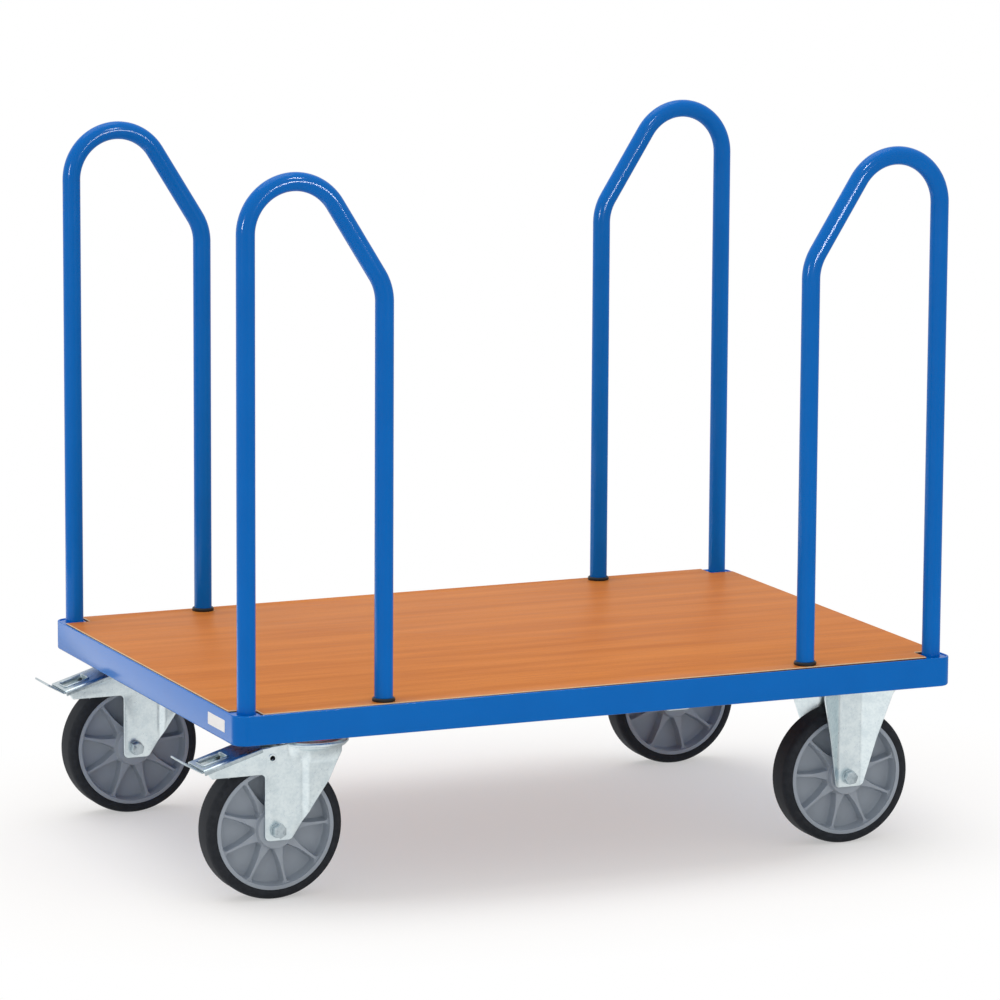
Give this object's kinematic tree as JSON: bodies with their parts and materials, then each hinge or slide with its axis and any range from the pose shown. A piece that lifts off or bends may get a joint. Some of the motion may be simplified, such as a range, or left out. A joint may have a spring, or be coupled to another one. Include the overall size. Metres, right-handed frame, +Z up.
{
  "type": "side rail platform trolley",
  "caption": "Platform trolley with a wooden deck in a steel frame, plug-in side bows, braked swivel casters at one end and fixed casters at the other.",
  "frame": {"origin": "on the floor under the middle of the overall length and width, brake treads included", "axes": "+X along the deck from the swivel casters to the fixed casters, +Y from the front side to the rear side, +Z up"},
  "size_m": [1.151, 0.75, 1.0129],
  "materials": {
    "blue_paint": "glossy powder coat",
    "beech_board": "coated beech-look board, satin",
    "zinc_plate": "bright zinc plate",
    "black_plastic": "satin",
    "grey_plastic": "satin",
    "black_tyre": "matt",
    "red_seal": "satin"
  },
  "bodies": {
    "platform": {"deck_board": "beech_board", "front_rail": "blue_paint", "rear_rail": "blue_paint", "left_rail": "blue_paint", "right_rail": "blue_paint", "left_bearer": "blue_paint", "right_bearer": "blue_paint", "middle_bearer": "blue_paint", "front_left_corner_socket": "blue_paint", "front_left_inner_socket": "blue_paint", "front_left_collar": "black_plastic", "front_right_corner_socket": "blue_paint", "front_right_inner_socket": "blue_paint", "front_right_collar": "black_plastic", "rear_left_corner_socket": "blue_paint", "rear_left_inner_socket": "blue_paint", "rear_left_collar": "black_plastic", "rear_right_corner_socket": "blue_paint", "rear_right_inner_socket": "blue_paint", "rear_right_collar": "black_plastic", "front_left_swivel_plate": "zinc_plate", "front_left_kingpin": "zinc_plate", "front_left_seal_ring": "red_seal", "front_right_fork": "zinc_plate", "front_right_axle_bolt": "zinc_plate", "front_right_axle_nut": "zinc_plate", "front_right_axle_sleeve": "zinc_plate", "rear_left_swivel_plate": "zinc_plate", "rear_left_kingpin": "zinc_plate", "rear_left_seal_ring": "red_seal", "rear_right_fork": "zinc_plate", "rear_right_axle_bolt": "zinc_plate", "rear_right_axle_nut": "zinc_plate", "rear_right_axle_sleeve": "zinc_plate"},
    "front_left_swivel": {"front_left_fork": "zinc_plate", "front_left_axle_bolt": "zinc_plate", "front_left_axle_nut": "zinc_plate", "front_left_axle_sleeve": "zinc_plate"},
    "front_left_brake": {"front_left_brake_pedal": "zinc_plate", "front_left_brake_tread": "zinc_plate"},
    "front_left_wheel": {"front_left_rim": "grey_plastic", "front_left_tyre": "black_tyre"},
    "front_right_wheel": {"front_right_rim": "grey_plastic", "front_right_tyre": "black_tyre"},
    "rear_left_swivel": {"rear_left_fork": "zinc_plate", "rear_left_axle_bolt": "zinc_plate", "rear_left_axle_nut": "zinc_plate", "rear_left_axle_sleeve": "zinc_plate"},
    "rear_left_brake": {"rear_left_brake_pedal": "zinc_plate", "rear_left_brake_tread": "zinc_plate"},
    "rear_left_wheel": {"rear_left_rim": "grey_plastic", "rear_left_tyre": "black_tyre"},
    "rear_right_wheel": {"rear_right_rim": "grey_plastic", "rear_right_tyre": "black_tyre"},
    "front_left_bow": {"front_left_bow": "blue_paint"},
    "front_right_bow": {"front_right_bow": "blue_paint"},
    "rear_left_bow": {"rear_left_bow": "blue_paint"},
    "rear_right_bow": {"rear_right_bow": "blue_paint"}
  },
  "joints": [
    {"name": "front_left_swivel_turn", "type": "hinge", "parent": "platform", "child": "front_left_swivel", "pos_m": [-0.3805, -0.285, 0.2], "axis": [0, 0, 1], "continuous": true},
    {"name": "front_left_wheel_spin", "type": "hinge", "parent": "front_left_swivel", "child": "front_left_wheel", "pos_m": [-0.4405, -0.285, 0.1], "axis": [0, 1, 0], "continuous": true},
    {"name": "front_left_brake_release", "type": "hinge", "parent": "front_left_swivel", "child": "front_left_brake", "pos_m": [-0.4482, -0.285, 0.202], "axis": [0, 1, 0], "range_deg": [0, 10]},
    {"name": "front_right_wheel_spin", "type": "hinge", "parent": "platform", "child": "front_right_wheel", "pos_m": [0.4415, -0.285, 0.1], "axis": [0, 1, 0], "continuous": true},
    {"name": "rear_left_swivel_turn", "type": "hinge", "parent": "platform", "child": "rear_left_swivel", "pos_m": [-0.3805, 0.285, 0.2], "axis": [0, 0, 1], "continuous": true},
    {"name": "rear_left_wheel_spin", "type": "hinge", "parent": "rear_left_swivel", "child": "rear_left_wheel", "pos_m": [-0.4405, 0.285, 0.1], "axis": [0, 1, 0], "continuous": true},
    {"name": "rear_left_brake_release", "type": "hinge", "parent": "rear_left_swivel", "child": "rear_left_brake", "pos_m": [-0.4482, 0.285, 0.202], "axis": [0, 1, 0], "range_deg": [0, 10]},
    {"name": "rear_right_wheel_spin", "type": "hinge", "parent": "platform", "child": "rear_right_wheel", "pos_m": [0.4415, 0.285, 0.1], "axis": [0, 1, 0], "continuous": true},
    {"name": "front_left_bow_lift", "type": "slide", "parent": "platform", "child": "front_left_bow", "axis": [0, 0, 1], "range_m": [0, 0.05]},
    {"name": "front_right_bow_lift", "type": "slide", "parent": "platform", "child": "front_right_bow", "axis": [0, 0, 1], "range_m": [0, 0.05]},
    {"name": "rear_left_bow_lift", "type": "slide", "parent": "platform", "child": "rear_left_bow", "axis": [0, 0, 1], "range_m": [0, 0.05]},
    {"name": "rear_right_bow_lift", "type": "slide", "parent": "platform", "child": "rear_right_bow", "axis": [0, 0, 1], "range_m": [0, 0.05]}
  ]
}
